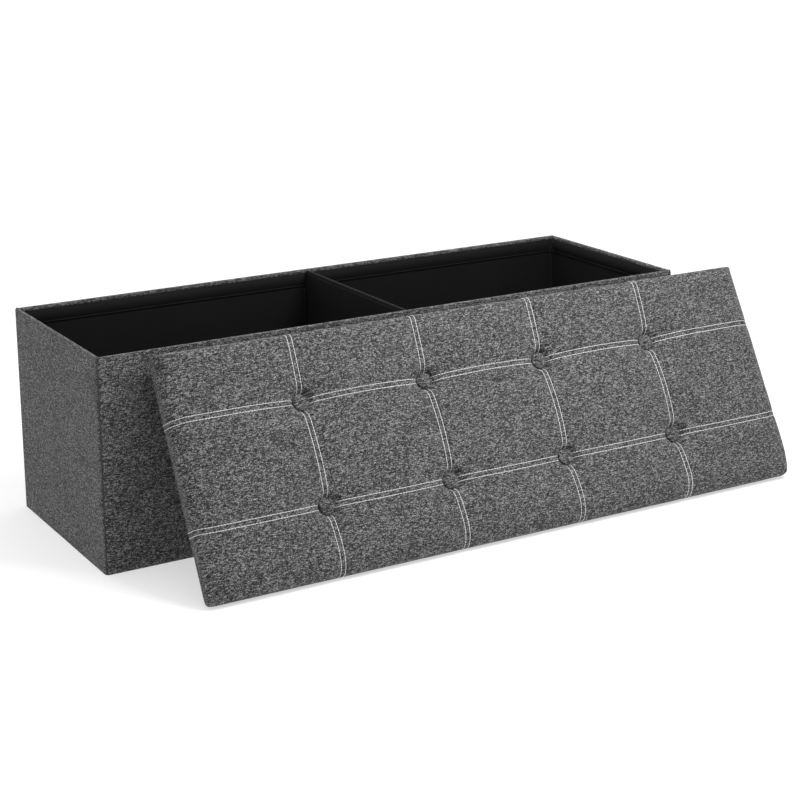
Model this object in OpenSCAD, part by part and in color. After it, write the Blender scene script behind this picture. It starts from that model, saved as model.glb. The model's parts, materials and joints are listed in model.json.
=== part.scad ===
// Folding storage ottoman: a cloth-covered box with a loose tufted lid leaning on its front.
// X runs along the length, the front faces -Y, Z is up.
// The origin is the middle of the box's underside, on the floor.

/* [Box] */
// Length of the box, end to end
box_w = 1076; // [1040:1:1090]
// Depth of the box, front to back
box_d = 367; // [355:1:375]
// Height of the box, floor to rim
box_h = 342; // [325:1:360]
// Thickness of the wall boards
wall_t = 5; // [3:0.5:8]
// Radius of the box's upright corners
corner_r = 6; // [4:0.5:6]
// Width of the upright seam in each corner
seam_w = 0.6; // [0.4:0.1:1]
// Width of the crease gap in the middle of each end wall
crease_gap = 3; // [2:0.5:6]

/* [Cloth] */
// Thickness of the grey upholstery cloth
cloth_t = 1.2; // [1:0.1:1.5]
// Thickness of the black lining cloth
lining_t = 1; // [0.8:0.1:1.2]
// Depth that the grey cloth turns down inside the rim
rim_turn = 6; // [4:0.5:10]
// Height of the lining's doubled top hem
hem_h = 25; // [15:1:40]
// Extra thickness of the hem
hem_t = 0.8; // [0.5:0.1:1]

/* [Divider] */
// Thickness of the divider board
divider_board_t = 4.4; // [3:0.1:5]
// Distance of the divider's top edge below the rim
divider_drop = 1; // [0.5:0.5:6]
// Width of one guide rib
guide_w = 6; // [4:0.5:7]
// Depth of one guide rib, out from the wall
guide_d = 6; // [4:0.5:8]

/* [Base boards] */
// Thickness of a base board
base_board_t = 5; // [4:0.5:6]
// Thickness of the cloth wrapped around the base boards and the divider
wrap_t = 0.8; // [0.5:0.1:1]
// Length and width of a pull tab
tab_size = [45, 25]; // [20:1:60]

/* [Lid] */
// Length of the lid
lid_w = 1100; // [1095:1:1120]
// Depth of the lid
lid_d = 377; // [376:1:385]
// Thickness of the lid with its padding
lid_t = 38; // [36:1:45]
// Thickness of the lid board
lid_board_t = 9; // [6:1:12]
// Radius of the lid's corners, seen from above
lid_r = 12; // [8:1:20]
// Height of the locating strips under the lid
strip_h = 22; // [15:1:24]
// Width of the locating strips
strip_w = 9; // [6:1:12]
// Clearance between the strips and the box's hems
strip_play = 6; // [4:0.5:8]
// Gap left in the long strips for the divider
strip_gap = 24; // [16:1:40]

/* [Tufting] */
// Distance between buttons along the lid
column_pitch = 220; // [200:1:225]
// Distance between the two rows of buttons
row_pitch = 163; // [140:1:180]
// Radius of a button
button_r = 13.5; // [10:0.5:15]
// Height of a button
button_h = 7; // [5:0.5:10]
// Depth of the pocket that a button sits in
pocket_h = 20; // [14:0.5:21]

/* [Leaning lid] */
// Angle of the leaning lid above the floor
lean = 61.3; // [56:0.1:66]
// Distance that the leaning lid is shifted along the box
lid_shift = 88; // [0:1:120]
// Gap between the lid's strips and the box's front
lean_gap = 0.3; // [0.2:0.1:1]

/* [Hidden] */
BUTTON_COLUMNS = 4;
BUTTON_ROWS = 2;
BUTTONS = [for (r = [0 : BUTTON_ROWS - 1], c = [0 : BUTTON_COLUMNS - 1]) [r, c]];
ROW_NAMES = ["lower", "upper"];
function button_name(b) = str("button_", ROW_NAMES[b[0]], "_", b[1] + 1);

$fn = 48;
EPS = 0.01;              // overrun of a cut past the face that it opens
BIG = 2000;              // larger than the whole object
GREY = [0.30, 0.30, 0.31];
BLACK = [0.07, 0.07, 0.075];
FIBREBOARD = [0.64, 0.51, 0.36];
FOAM = [0.93, 0.90, 0.80];
STEEL = [0.72, 0.72, 0.74];
THREAD = [0.62, 0.62, 0.63];

// The wall from its outside face inwards: cloth, board, lining, hem
board_in = cloth_t + wall_t;
lining_in = board_in + lining_t;
hem_in = lining_in + hem_t;
bottom_t = cloth_t;
board_top = box_h - cloth_t;
lining_top = box_h - rim_turn;
hem_bottom = lining_top - hem_h;

// The divider and the base boards
play = 0.3;              // space between pieces that move past each other
divider_t = divider_board_t + 2 * wrap_t;
divider_d = box_d - 2 * (hem_in + 0.7);
divider_z = bottom_t + play;
divider_h = box_h - divider_drop - divider_z;
guide_gap = divider_t / 2 + 0.4;
guide_bottom = 20;
guide_top = hem_bottom - 2;
base_t = base_board_t + 2 * wrap_t;
base_z = bottom_t + play;
base_top = base_z + base_t;
hinge_cloth_t = 1;
base_x0 = guide_gap + guide_w + 2;         // a base board's edge nearest the divider
base_x1 = box_w / 2 - lining_in - 3;       // its edge nearest the end wall
base_y0 = -(box_d / 2 - lining_in - 3);    // its front edge
base_y1 = box_d / 2 - lining_in - hinge_cloth_t - play;
tab_t = 1.2;
tab_in = 12;             // distance of a pull tab from the base board's front edge

// The lid, drawn flat: X along it, Y from its lower long edge, Z out to the padded face
turn_in = 22;            // width of the cover's margin folded under the board
under_t = 0.8;           // thickness of the underside cloth
under_in = 10;           // distance of the underside cloth's edge from the lid's edge
strip_x = box_w / 2 - hem_in - strip_play;
strip_y = (lid_d - box_d) / 2 + hem_in + strip_play - 4;
board_z = cloth_t;
foam_z = board_z + lid_board_t;
pocket_z = lid_t - pocket_h;
pocket_r = button_r + 1;
shank_r = 1.2;
shank_l = 4;
cord_r = 1;
cord_hole_r = 2.5;
washer_r = 8;
washer_t = 1.6;
washer_pit = 3;          // depth of the pit in the board that holds a washer and its knot
knot_r = 2.2;
knot_t = 1.2;
staple = [10, 1.2, 0.5];
staple_pitch = 42;
staple_in = 12.5;        // distance of the staples from the lid's edge
lid_reach = (lid_d - strip_y) * cos(lean) + strip_h * sin(lean);
lid_foot_y = -box_d / 2 - lean_gap - lid_reach;

// ---- shared shapes ----

// A flat rectangle centred on the origin, with round corners
module round_rect(w, d, r) {
    square([w - 2 * r, d], center = true);
    square([w, d - 2 * r], center = true);
    for (x = [-1, 1], y = [-1, 1])
        translate([x * (w / 2 - r), y * (d / 2 - r)])
            circle(r);
}

// A block between two corners
module block(low, high) {
    translate(low)
        cube(high - low);
}

// A four-sided band standing between two insets from the box's outside
module band(inset_out, inset_in, z0, z1) {
    r_out = max(corner_r - inset_out, 0.5);
    r_in = max(corner_r - inset_in, 0.5);
    translate([0, 0, z0])
        difference() {
            linear_extrude(z1 - z0)
                round_rect(box_w - 2 * inset_out, box_d - 2 * inset_out, r_out);
            translate([0, 0, -EPS])
                linear_extrude(z1 - z0 + 2 * EPS)
                    round_rect(box_w - 2 * inset_in, box_d - 2 * inset_in, r_in);
        }
}

// Grey cloth all round the box: outside skin, turned over the rim and down inside
module upholstery() {
    band(0, cloth_t, 0, box_h);
    band(0, lining_in, box_h - cloth_t, box_h);
    band(board_in, lining_in, box_h - rim_turn, box_h);
}

// What lies on one side of the four corner seams, which run at 45 degrees through the corners:
// turn is 0 at the front, 90 at the right, 180 at the back and 270 at the left
module side_of_seams(turn) {
    long = turn % 180 == 0;
    half_w = (long ? box_w : box_d) / 2;
    half_d = (long ? box_d : box_w) / 2;
    reach = box_d / 4;       // how far the cut runs in from the outside
    gap = seam_w / sqrt(2);
    intersection() {
        children();
        translate([0, 0, -EPS])
            rotate(turn)
                linear_extrude(BIG)
                    polygon([[gap - half_w, -half_d], [half_w - gap, -half_d],
                             [half_w - gap - reach, reach - half_d], [gap + reach - half_w, reach - half_d]]);
    }
}

// ---- box ----

module bottom_cloth() {
    color(BLACK)
        linear_extrude(bottom_t)
            round_rect(box_w - 2 * cloth_t, box_d - 2 * cloth_t, corner_r - cloth_t);
}

// A long wall board stops where the round corners begin, so that the corners can fold
module long_board(side) {
    x = box_w / 2 - corner_r;
    y = side * (box_d / 2 - cloth_t - wall_t / 2);
    color(FIBREBOARD)
        block([-x, y - wall_t / 2, bottom_t], [x, y + wall_t / 2, board_top]);
}

module end_board(side, half) {
    x = side * (box_w / 2 - cloth_t - wall_t / 2);
    y0 = crease_gap / 2;
    y1 = box_d / 2 - board_in;
    color(FIBREBOARD)
        block([x - wall_t / 2, half > 0 ? y0 : -y1, bottom_t],
              [x + wall_t / 2, half > 0 ? y1 : -y0, board_top]);
}

module long_cover(side) {
    color(GREY)
        side_of_seams(side > 0 ? 180 : 0)
            upholstery();
}

// The end's cloth, nicked at the rim where the wall creases
module end_cover(side) {
    nick = 1.6;
    color(GREY)
        difference() {
            side_of_seams(side > 0 ? 90 : 270)
                upholstery();
            translate([side * box_w / 2, 0, box_h])
                rotate([45, 0, 0])
                    cube([4 * lining_in, nick, nick], center = true);
        }
}

module long_lining(side) {
    x = box_w / 2 - board_in;
    y = side * (box_d / 2 - board_in - lining_t / 2);
    color(BLACK)
        block([-x, y - lining_t / 2, bottom_t], [x, y + lining_t / 2, lining_top]);
}

module end_lining(side) {
    x = side * (box_w / 2 - board_in - lining_t / 2);
    y = box_d / 2 - lining_in;
    color(BLACK)
        block([x - lining_t / 2, -y, bottom_t], [x + lining_t / 2, y, lining_top]);
}

module long_hem(side) {
    x = box_w / 2 - lining_in;
    y = side * (box_d / 2 - lining_in - hem_t / 2);
    color(BLACK)
        block([-x, y - hem_t / 2, hem_bottom], [x, y + hem_t / 2, lining_top]);
}

module end_hem(side) {
    x = side * (box_w / 2 - lining_in - hem_t / 2);
    y = box_d / 2 - hem_in;
    color(BLACK)
        block([x - hem_t / 2, -y, hem_bottom], [x + hem_t / 2, y, lining_top]);
}

// Thread lying in the upright seams of the four round corners
module corner_seams() {
    r = seam_w / 2 - 0.02;
    inset = corner_r - (corner_r - cloth_t / 2) / sqrt(2);
    color(BLACK)
        for (x = [-1, 1], y = [-1, 1])
            translate([x * (box_w / 2 - inset), y * (box_d / 2 - inset), cloth_t])
                cylinder(h = box_h - 2 * cloth_t, r = r);
}

// Pairs of sewn ribs on the front and back walls that hold the divider upright
module divider_guides() {
    y0 = box_d / 2 - lining_in - guide_d;
    color(BLACK)
        for (x = [-1, 1], y = [-1, 1])
            translate([x * (guide_gap + guide_w / 2), y * (y0 + guide_d / 2),
                       (guide_bottom + guide_top) / 2])
                cube([guide_w, guide_d, guide_top - guide_bottom], center = true);
}

// ---- divider ----

module divider_board() {
    color(FIBREBOARD)
        translate([0, 0, divider_z + divider_h / 2])
            cube([divider_board_t, divider_d - 2 * wrap_t, divider_h - 2 * wrap_t], center = true);
}

module divider_wrap() {
    color(BLACK)
        translate([0, 0, divider_z + divider_h / 2])
            difference() {
                cube([divider_t, divider_d, divider_h], center = true);
                cube([divider_board_t, divider_d - 2 * wrap_t, divider_h - 2 * wrap_t], center = true);
            }
}

// ---- base boards, side is -1 at the left and 1 at the right ----

module base_place(side) {
    x = side * (base_x0 + base_x1) / 2;
    translate([x, (base_y0 + base_y1) / 2, base_z + base_t / 2])
        children();
}

module base_board(side) {
    size = [base_x1 - base_x0, base_y1 - base_y0, base_t];
    color(FIBREBOARD)
        base_place(side)
            cube(size - 2 * wrap_t * [1, 1, 1], center = true);
}

module base_wrap(side) {
    size = [base_x1 - base_x0, base_y1 - base_y0, base_t];
    color(BLACK)
        base_place(side)
            difference() {
                cube(size, center = true);
                cube(size - 2 * wrap_t * [1, 1, 1], center = true);
            }
}

module pull_tab(side) {
    x = side * (base_x0 + base_x1) / 2;
    y = base_y0 + tab_in;
    color(GREY)
        block([x - tab_size[1] / 2, y, base_top], [x + tab_size[1] / 2, y + tab_size[0], base_top + tab_t]);
}

// Cloth strip behind a base board, sewn to its top edge: the board turns up about it
module cloth_hinge(side) {
    y = box_d / 2 - lining_in;
    x0 = side > 0 ? base_x0 : -base_x1;
    x1 = side > 0 ? base_x1 : -base_x0;
    color(BLACK)
        block([x0, y - hinge_cloth_t, bottom_t], [x1, y, base_top]);
}

// ---- lid ----

// Stands the flat lid on its lower long edge, leaning back on the box
module leaning() {
    translate([lid_shift, lid_foot_y, 0])
        rotate([lean, 0, 0])
            children();
}

// The lid's outline from one height to another, pulled in from its edge
module lid_slab(inset, z0, z1) {
    translate([0, lid_d / 2, z0])
        linear_extrude(z1 - z0)
            round_rect(lid_w - 2 * inset, lid_d - 2 * inset, lid_r - min(inset, lid_r - 2));
}

function button_x(b) = (b[1] - (BUTTON_COLUMNS - 1) / 2) * column_pitch;
function button_y(b) = lid_d / 2 + (b[0] - (BUTTON_ROWS - 1) / 2) * row_pitch;

// A round bar under each button, from one height to another
module at_buttons(r, z0, z1) {
    for (b = BUTTONS)
        translate([button_x(b), button_y(b), z0])
            cylinder(h = z1 - z0, r = r);
}

module lid_board() {
    color(FIBREBOARD)
        leaning()
            difference() {
                lid_slab(cloth_t, board_z, foam_z);
                at_buttons(cord_hole_r, board_z - EPS, foam_z + EPS);
                at_buttons(washer_r + 1, board_z - EPS, board_z + washer_pit);
            }
}

module lid_foam() {
    color(FOAM)
        leaning()
            difference() {
                lid_slab(cloth_t, foam_z, lid_t - cloth_t);
                at_buttons(cord_hole_r, foam_z - EPS, pocket_z);
                at_buttons(pocket_r + cloth_t, pocket_z - cloth_t, lid_t);
            }
}

// Grey cloth over the foam, down into the button pockets and folded under the board
module lid_cover() {
    color(GREY)
        leaning()
            difference() {
                union() {
                    difference() {
                        lid_slab(0, 0, lid_t);
                        lid_slab(cloth_t, board_z, lid_t - cloth_t);
                        lid_slab(turn_in, -EPS, board_z + EPS);
                    }
                    at_buttons(pocket_r + cloth_t, pocket_z - cloth_t, lid_t - EPS);
                }
                at_buttons(pocket_r, pocket_z, lid_t + EPS);
                at_buttons(shank_r + 0.3, pocket_z - 2 * cloth_t, pocket_z + EPS);
            }
}

module lid_underside_cloth() {
    color(BLACK)
        leaning()
            lid_slab(under_in, -under_t, 0);
}

module lid_staples() {
    nx = floor((lid_w / 2 - 30) / staple_pitch);
    ny = floor((lid_d / 2 - 30) / staple_pitch);
    z = -under_t - staple[2] / 2;
    color(STEEL)
        leaning() {
            for (i = [-nx : nx], y = [staple_in, lid_d - staple_in])
                translate([i * staple_pitch, y, z])
                    cube(staple, center = true);
            for (i = [-ny : ny], x = [-1, 1])
                translate([x * (lid_w / 2 - staple_in), lid_d / 2 + i * staple_pitch, z])
                    cube([staple[1], staple[0], staple[2]], center = true);
        }
}

// A long strip, y is -1 at the lower edge and 1 at the upper, x is -1 at the left and 1 at the right
module long_strip(x, y) {
    x0 = strip_gap / 2;
    y0 = y > 0 ? lid_d - strip_y - strip_w : strip_y;
    color(BLACK)
        leaning()
            block([x > 0 ? x0 : -strip_x, y0, -strip_h], [x > 0 ? strip_x : -x0, y0 + strip_w, -under_t]);
}

module end_strip(x) {
    y0 = strip_y + strip_w;
    x0 = x > 0 ? strip_x - strip_w : -strip_x;
    color(BLACK)
        leaning()
            block([x0, y0, -strip_h], [x0 + strip_w, lid_d - y0, -under_t]);
}

// Domed, cloth-covered button with a shank behind it
module button(b) {
    rim = button_h / 3;      // height of the button's straight side
    dome_r = (pow(button_r, 2) + pow(button_h - rim, 2)) / (2 * (button_h - rim));
    steps = 12;
    profile = concat(
        [[0, -shank_l], [shank_r, -shank_l], [shank_r, 0], [button_r, 0], [button_r, rim]],
        [for (i = [1 : steps])
            let (x = button_r * (1 - i / steps))
            [x, button_h - dome_r + sqrt(pow(dome_r, 2) - pow(x, 2))]]);
    color(GREY)
        leaning()
            translate([button_x(b), button_y(b), pocket_z])
                rotate_extrude()
                    polygon(profile);
}

// Cord from each button's shank down to a knot under its washer
module tufting_cords() {
    color(THREAD)
        leaning() {
            at_buttons(cord_r, board_z + knot_t, pocket_z - shank_l);
            at_buttons(knot_r, board_z + 0.1, board_z + 0.1 + knot_t);
        }
}

module tufting_washers() {
    z0 = board_z + washer_pit - washer_t;
    color(STEEL)
        leaning()
            difference() {
                at_buttons(washer_r, z0, board_z + washer_pit);
                at_buttons(cord_r + 0.1, z0 - EPS, board_z + washer_pit + EPS);
            }
}

bottom_cloth();
long_board(-1);  // front_board
long_board(1);  // back_board
end_board(-1, -1);  // left_end_board_front
end_board(-1, 1);  // left_end_board_rear
end_board(1, -1);  // right_end_board_front
end_board(1, 1);  // right_end_board_rear
long_cover(-1);  // front_cover
long_cover(1);  // back_cover
end_cover(-1);  // left_cover
end_cover(1);  // right_cover
long_lining(-1);  // front_lining
long_lining(1);  // back_lining
end_lining(-1);  // left_lining
end_lining(1);  // right_lining
long_hem(-1);  // front_hem
long_hem(1);  // back_hem
end_hem(-1);  // left_hem
end_hem(1);  // right_hem
corner_seams();
divider_guides();
divider_board();
divider_wrap();
base_board(-1);  // left_base_board
base_wrap(-1);  // left_base_wrap
pull_tab(-1);  // left_pull_tab
cloth_hinge(-1);  // left_cloth_hinge
base_board(1);  // right_base_board
base_wrap(1);  // right_base_wrap
pull_tab(1);  // right_pull_tab
cloth_hinge(1);  // right_cloth_hinge
lid_board();
lid_foam();
lid_cover();
lid_underside_cloth();
lid_staples();
long_strip(-1, -1);  // strip_front_left
long_strip(1, -1);  // strip_front_right
long_strip(-1, 1);  // strip_back_left
long_strip(1, 1);  // strip_back_right
end_strip(-1);  // strip_end_left
end_strip(1);  // strip_end_right
tufting_cords();
tufting_washers();
for (b = BUTTONS)
    button(b);
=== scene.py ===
"""Looks of a storage ottoman: a cloth-covered box with a divider, and a loose tufted lid leaning on its front.

Lengths are in metres. A lid piece is made lying flat, with x along the lid, y up from its lower long edge and
z out of its padded face, and is then turned into its leaning place.
"""

import itertools
import json
import math

import bmesh
import bpy
import numpy as np
from mathutils import Matrix, Vector, noise

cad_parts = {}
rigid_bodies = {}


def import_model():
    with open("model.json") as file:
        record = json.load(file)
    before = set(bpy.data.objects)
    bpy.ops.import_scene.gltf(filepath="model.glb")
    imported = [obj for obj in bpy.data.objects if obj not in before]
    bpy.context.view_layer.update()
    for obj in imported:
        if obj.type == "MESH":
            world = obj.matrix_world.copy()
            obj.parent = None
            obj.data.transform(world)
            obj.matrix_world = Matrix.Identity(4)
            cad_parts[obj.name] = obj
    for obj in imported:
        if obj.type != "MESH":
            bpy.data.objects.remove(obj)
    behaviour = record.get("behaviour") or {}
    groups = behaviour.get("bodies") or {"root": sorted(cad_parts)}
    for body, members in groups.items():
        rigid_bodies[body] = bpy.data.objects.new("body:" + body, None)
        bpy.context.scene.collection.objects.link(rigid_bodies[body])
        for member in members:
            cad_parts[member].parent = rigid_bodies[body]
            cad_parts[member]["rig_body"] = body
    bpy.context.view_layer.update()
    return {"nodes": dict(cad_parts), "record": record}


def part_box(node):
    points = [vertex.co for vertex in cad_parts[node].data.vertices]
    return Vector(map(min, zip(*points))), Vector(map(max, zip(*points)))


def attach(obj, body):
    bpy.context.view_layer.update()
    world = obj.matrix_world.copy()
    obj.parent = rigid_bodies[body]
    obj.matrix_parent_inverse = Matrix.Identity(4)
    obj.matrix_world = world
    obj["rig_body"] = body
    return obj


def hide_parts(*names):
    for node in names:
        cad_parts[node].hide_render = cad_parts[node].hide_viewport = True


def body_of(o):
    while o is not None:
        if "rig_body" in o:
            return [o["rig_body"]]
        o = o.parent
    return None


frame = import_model()

MM = 0.001
UV_NAME = "cloth"

# ---- places and sizes, from the frame ----

BOX_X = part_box("right_cover")[1].x          # half the box's length
BOX_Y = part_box("back_cover")[1].y           # half its depth
BOX_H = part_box("back_cover")[1].z
CORNER_R = 6 * MM
CLOTH_T = 1.2 * MM
WALL_T = BOX_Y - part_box("back_lining")[0].y  # outside of the cloth to the face of the lining
LINING_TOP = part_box("back_lining")[1].z
HEM_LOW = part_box("back_hem")[0].z


def coordinates(mesh):
    """Places of a mesh's points, as the rows of an array."""
    places = np.empty((len(mesh.vertices), 3))
    mesh.vertices.foreach_get("co", places.ravel())
    return places


def middle(node):
    """Middle of a CAD node's box."""
    low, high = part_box(node)
    return (low + high) / 2


def lid_place():
    """Matrix that takes a flat lid piece to the leaning lid, and the lid's length, depth and thickness."""
    along = Vector((1, 0, 0))
    up = (middle("button_upper_1") - middle("button_lower_1")).normalized()
    out = along.cross(up)
    turn = Matrix((along, up, out)).transposed()
    flat = coordinates(frame["nodes"]["lid_cover"].data) @ np.array(turn)
    low, high = flat.min(0), flat.max(0)
    foot = turn @ Vector(((low[0] + high[0]) / 2, low[1], low[2]))
    return Matrix.Translation(foot) @ turn.to_4x4(), high - low


LID, (LID_W, LID_D, LID_T) = lid_place()
BUTTONS = {name: LID.inverted() @ middle(name)
           for name in [f"button_{row}_{i}" for row in ("lower", "upper") for i in range(1, 5)]}
SEAM_X = sorted({round(p.x, 4) for p in BUTTONS.values()})
SEAM_Y = sorted({round(p.y, 4) for p in BUTTONS.values()})
BUTTON_R = (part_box("button_lower_1")[1].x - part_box("button_lower_1")[0].x) / 2

# The padded face
BUTTON_TOP = 25 * MM       # height of a button's crown above the lid's underside
TUFT_DEPTH = 12 * MM       # how far the padding is drawn down around a button
CRATER_DEPTH = 7 * MM      # the last dip, right at the button
STITCH_OFF = 3.9 * MM      # distance of each row of topstitching from its seam's middle
END_ROLL = 26 * MM, 19 * MM    # width and height of the rolled edge at the lid's ends
LOWER_ROLL = 30 * MM, 21 * MM  # and along its lower
UPPER_ROLL = 9 * MM, 12 * MM   # and upper long edges
LOWER_SAG = 7 * MM             # how much lower the padding is along the lower edge
SWELL_FRAMES = 14              # length of the Cloth run that presses the cover out

# Pitch, length and thickness of each kind of stitch
TOP_STITCH = 5 * MM, 5.4 * MM, 1.05 * MM
# The corner stitches are thick and longer than their pitch, so they join into one dark bead: the real black thread of
# the seam, and painted shade of the seam's groove.
CORNER_STITCH_AND_SHADE = 3.6 * MM, 4.6 * MM, 2.6 * MM
HEM_STITCH = 4.2 * MM, 3.6 * MM, 0.7 * MM
TAB_STITCH = 2.4 * MM, 2.1 * MM, 0.6 * MM


# ---- nodes and colours ----

def linear(hex_colour):
    """A six-digit sRGB colour as linear red, green, blue and alpha."""
    parts = [int(hex_colour[i:i + 2], 16) / 255 for i in (0, 2, 4)]
    return [c / 12.92 if c <= 0.04045 else ((c + 0.055) / 1.055) ** 2.4 for c in parts] + [1.0]


def add(tree, kind, values=None, **settings):
    """Adds a node. A value that is a socket is linked to its input, and any other is set on it."""
    made = tree.nodes.new(kind)
    for name, value in settings.items():
        setattr(made, name, value)
    for key, value in (values or {}).items():
        if isinstance(value, bpy.types.NodeSocket):
            tree.links.new(value, made.inputs[key])
        else:
            made.inputs[key].default_value = value
    return made


def start_material(name, **sockets):
    """A material with one Principled shader, whose even values are set on its own sockets."""
    material = bpy.data.materials.new(name)
    material.use_nodes = True
    tree = material.node_tree
    tree.nodes.clear()
    shader = add(tree, "ShaderNodeBsdfPrincipled", {k.replace("_", " "): v for k, v in sockets.items()})
    add(tree, "ShaderNodeOutputMaterial", {"Surface": shader.outputs[0]})
    return material, tree, shader


def finish_surface(tree, shader, shade, stops, height=None, strength=0.0, depth=0.0):
    """Colours a material by its shade, on a ramp of (position, hex colour) stops, and dents it by a height."""
    ramp = add(tree, "ShaderNodeValToRGB", {0: shade})
    elements = ramp.color_ramp.elements
    while len(elements) < len(stops):
        elements.new(0.5)
    for element, (position, colour) in zip(elements, stops):
        element.position = position
        element.color = linear(colour)
    tree.links.new(ramp.outputs[0], shader.inputs["Base Color"])
    if height is not None:
        bump = add(tree, "ShaderNodeBump", {"Strength": strength, "Distance": depth, "Height": height})
        tree.links.new(bump.outputs[0], shader.inputs["Normal"])


# ---- materials ----

WEAVE_SHADES = [(0.2, "0c0c0c"), (0.36, "242424"), (0.5, "3c3c3c"), (0.64, "575757"), (0.8, "828282")]


def linen_look_upholstery():
    """Heather-grey polyester in a linen-look plain weave: light and dark yarns with slubs, streaked along the weft.

    The real yarns are about 0.6 mm apart. They are drawn 1.1 mm apart, because finer ones wouldn't show.
    """
    pitch = 1.1 * MM
    weft_length = 4.2 * MM   # a stretch of weft of one shade
    warp_length = 2.6 * MM
    stagger = 9.0            # how far, in such stretches, one yarn's shades are shifted from the next one's
    material, tree, shader = start_material(
        "linen_look_upholstery", Roughness=0.95, Sheen_Weight=0.08, Sheen_Roughness=0.5, Specular_IOR_Level=0.2)
    uv = add(tree, "ShaderNodeUVMap", uv_map=UV_NAME).outputs[0]
    across, up = add(tree, "ShaderNodeSeparateXYZ", {0: uv}).outputs[:2]
    wobble, cloud = (
        add(tree, "ShaderNodeTexNoise", {"Vector": uv, **settings}, noise_dimensions="2D").outputs[0]
        for settings in ({"Scale": 9.0, "Detail": 1.0}, {"Scale": 22.0, "Detail": 3.0, "Roughness": 0.6}))

    def worked_out(given):
        """Socket of a nested (operation, inputs). CHANCE is a random number for each pair of whole numbers."""
        if not isinstance(given, tuple):
            return given
        inputs = {i: worked_out(part) for i, part in enumerate(given[1:])}
        if given[0] == "CHANCE":
            where = add(tree, "ShaderNodeCombineXYZ", inputs).outputs[0]
            return add(tree, "ShaderNodeTexWhiteNoise", {"Vector": where}, noise_dimensions="2D").outputs[0]
        return add(tree, "ShaderNodeMath", inputs, operation=given[0]).outputs[0]

    bent = worked_out(("MULTIPLY_ADD", wobble, 3 * MM, up))
    columns, rows = (worked_out(("DIVIDE", length, pitch)) for length in (across, bent))
    column, row = (worked_out(("FLOOR", number)) for number in (columns, rows))
    weft_start = ("MULTIPLY", ("CHANCE", row, 3.0), stagger)
    warp_start = ("MULTIPLY", ("CHANCE", column, 5.0), stagger)
    weft = ("CHANCE", ("FLOOR", ("ADD", ("DIVIDE", across, weft_length), weft_start)), row)
    warp = ("CHANCE", column, ("FLOOR", ("ADD", ("DIVIDE", up, warp_length), warp_start)))
    fleck = ("CHANCE", column, ("ADD", row, 0.5))
    yarns = ("ADD", ("MULTIPLY_ADD", weft, 0.4, ("MULTIPLY", warp, 0.15)), ("MULTIPLY", fleck, 0.45))
    shade = worked_out(("ADD", yarns, ("MULTIPLY_ADD", cloud, 0.08, -0.04)))
    parity, weft_round, warp_round = (worked_out(what) for what in (
        ("FLOORED_MODULO", ("ADD", column, row), 2.0),
        *(("SINE", ("MULTIPLY", ("FRACT", number), math.pi)) for number in (columns, rows))))
    yarn = add(tree, "ShaderNodeMix", {0: parity, 2: weft_round, 3: warp_round}, data_type="FLOAT").outputs[0]
    height = worked_out(("MULTIPLY_ADD", shade, 1.4, yarn))
    finish_surface(tree, shader, shade, WEAVE_SHADES, height, 0.6, 0.4 * MM)
    return material


def spunbond_lining():
    """Black spunbond polypropylene: a thin felt of straight fibres, pressed flat in a grid of tiny points."""
    point_pitch = 2.2 * MM
    material, tree, shader = start_material(
        "spunbond_lining", Roughness=0.8, Sheen_Weight=0.02, Specular_IOR_Level=0.12)
    where = add(tree, "ShaderNodeTexCoord").outputs["Object"]
    fibres, cloud = (add(tree, "ShaderNodeTexNoise", {"Vector": where, "Scale": scale, "Detail": 3.0}).outputs[0]
                     for scale in (900.0, 9.0))
    points = add(tree, "ShaderNodeTexVoronoi", {"Vector": where, "Scale": 1 / point_pitch, "Randomness": 0.15})
    both = add(tree, "ShaderNodeMath", {0: fibres, 1: cloud}, operation="ADD").outputs[0]
    shade = add(tree, "ShaderNodeMath", {0: both, 1: 0.5}, operation="MULTIPLY").outputs[0]
    pressed = add(tree, "ShaderNodeMath", {0: points.outputs[0], 1: fibres}, operation="ADD").outputs[0]
    finish_surface(tree, shader, shade, [(0.3, "060606"), (0.5, "090909"), (0.75, "0f0f0f")], pressed, 0.35, 0.2 * MM)
    return material


def grained(name, kind, settings, stops, strength, depth, **sockets):
    """A material with one pattern all through it, which gives it its shades and its fine dents."""
    material, tree, shader = start_material(name, **sockets)
    where = add(tree, "ShaderNodeTexCoord").outputs["Object"]
    grain = add(tree, kind, {"Vector": where, **settings}).outputs[0]
    finish_surface(tree, shader, grain, stops, grain, strength, depth)
    return material


def bonded_thread(name, dark, light):
    """Thick bonded polyester sewing thread, twisted from three plies of about 0.7 mm."""
    return grained(name, "ShaderNodeTexNoise", {"Scale": 1500.0, "Detail": 1.0}, [(0.3, dark), (0.7, light)],
                   0.4, 0.1 * MM, Roughness=0.6, Sheen_Weight=0.05)


def raw_fibreboard():
    """Medium-density fibreboard, sanded and bare: warm brown with fine flecks of darker fibre."""
    return grained("raw_fibreboard", "ShaderNodeTexNoise", {"Scale": 700.0, "Detail": 4.0},
                   [(0.3, "8a6b48"), (0.55, "a5845c"), (0.8, "b99a72")], 0.3, 0.1 * MM, Roughness=0.85)


def polyurethane_foam():
    """Cut polyurethane foam: cream, with open cells 0.9 mm wide."""
    return grained("polyurethane_foam", "ShaderNodeTexVoronoi", {"Scale": 1 / (0.9 * MM)},
                   [(0.1, "c9bf9c"), (0.6, "efe6c8")], 0.6, 0.4 * MM, Roughness=0.95)


def zinc_plated_steel():
    """Zinc-plated steel wire and washers: pale grey with a faint cloudy plating."""
    material, tree, shader = start_material("zinc_plated_steel", Metallic=1.0)
    where = add(tree, "ShaderNodeTexCoord").outputs["Object"]
    plating = add(tree, "ShaderNodeTexNoise", {"Vector": where, "Scale": 220.0, "Detail": 3.0}).outputs[0]
    gloss = add(tree, "ShaderNodeMapRange", {0: plating, 3: 0.28, 4: 0.45})
    tree.links.new(gloss.outputs[0], shader.inputs["Roughness"])
    finish_surface(tree, shader, plating, [(0.3, "a9abad"), (0.7, "c9cbcc")])
    return material


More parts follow.
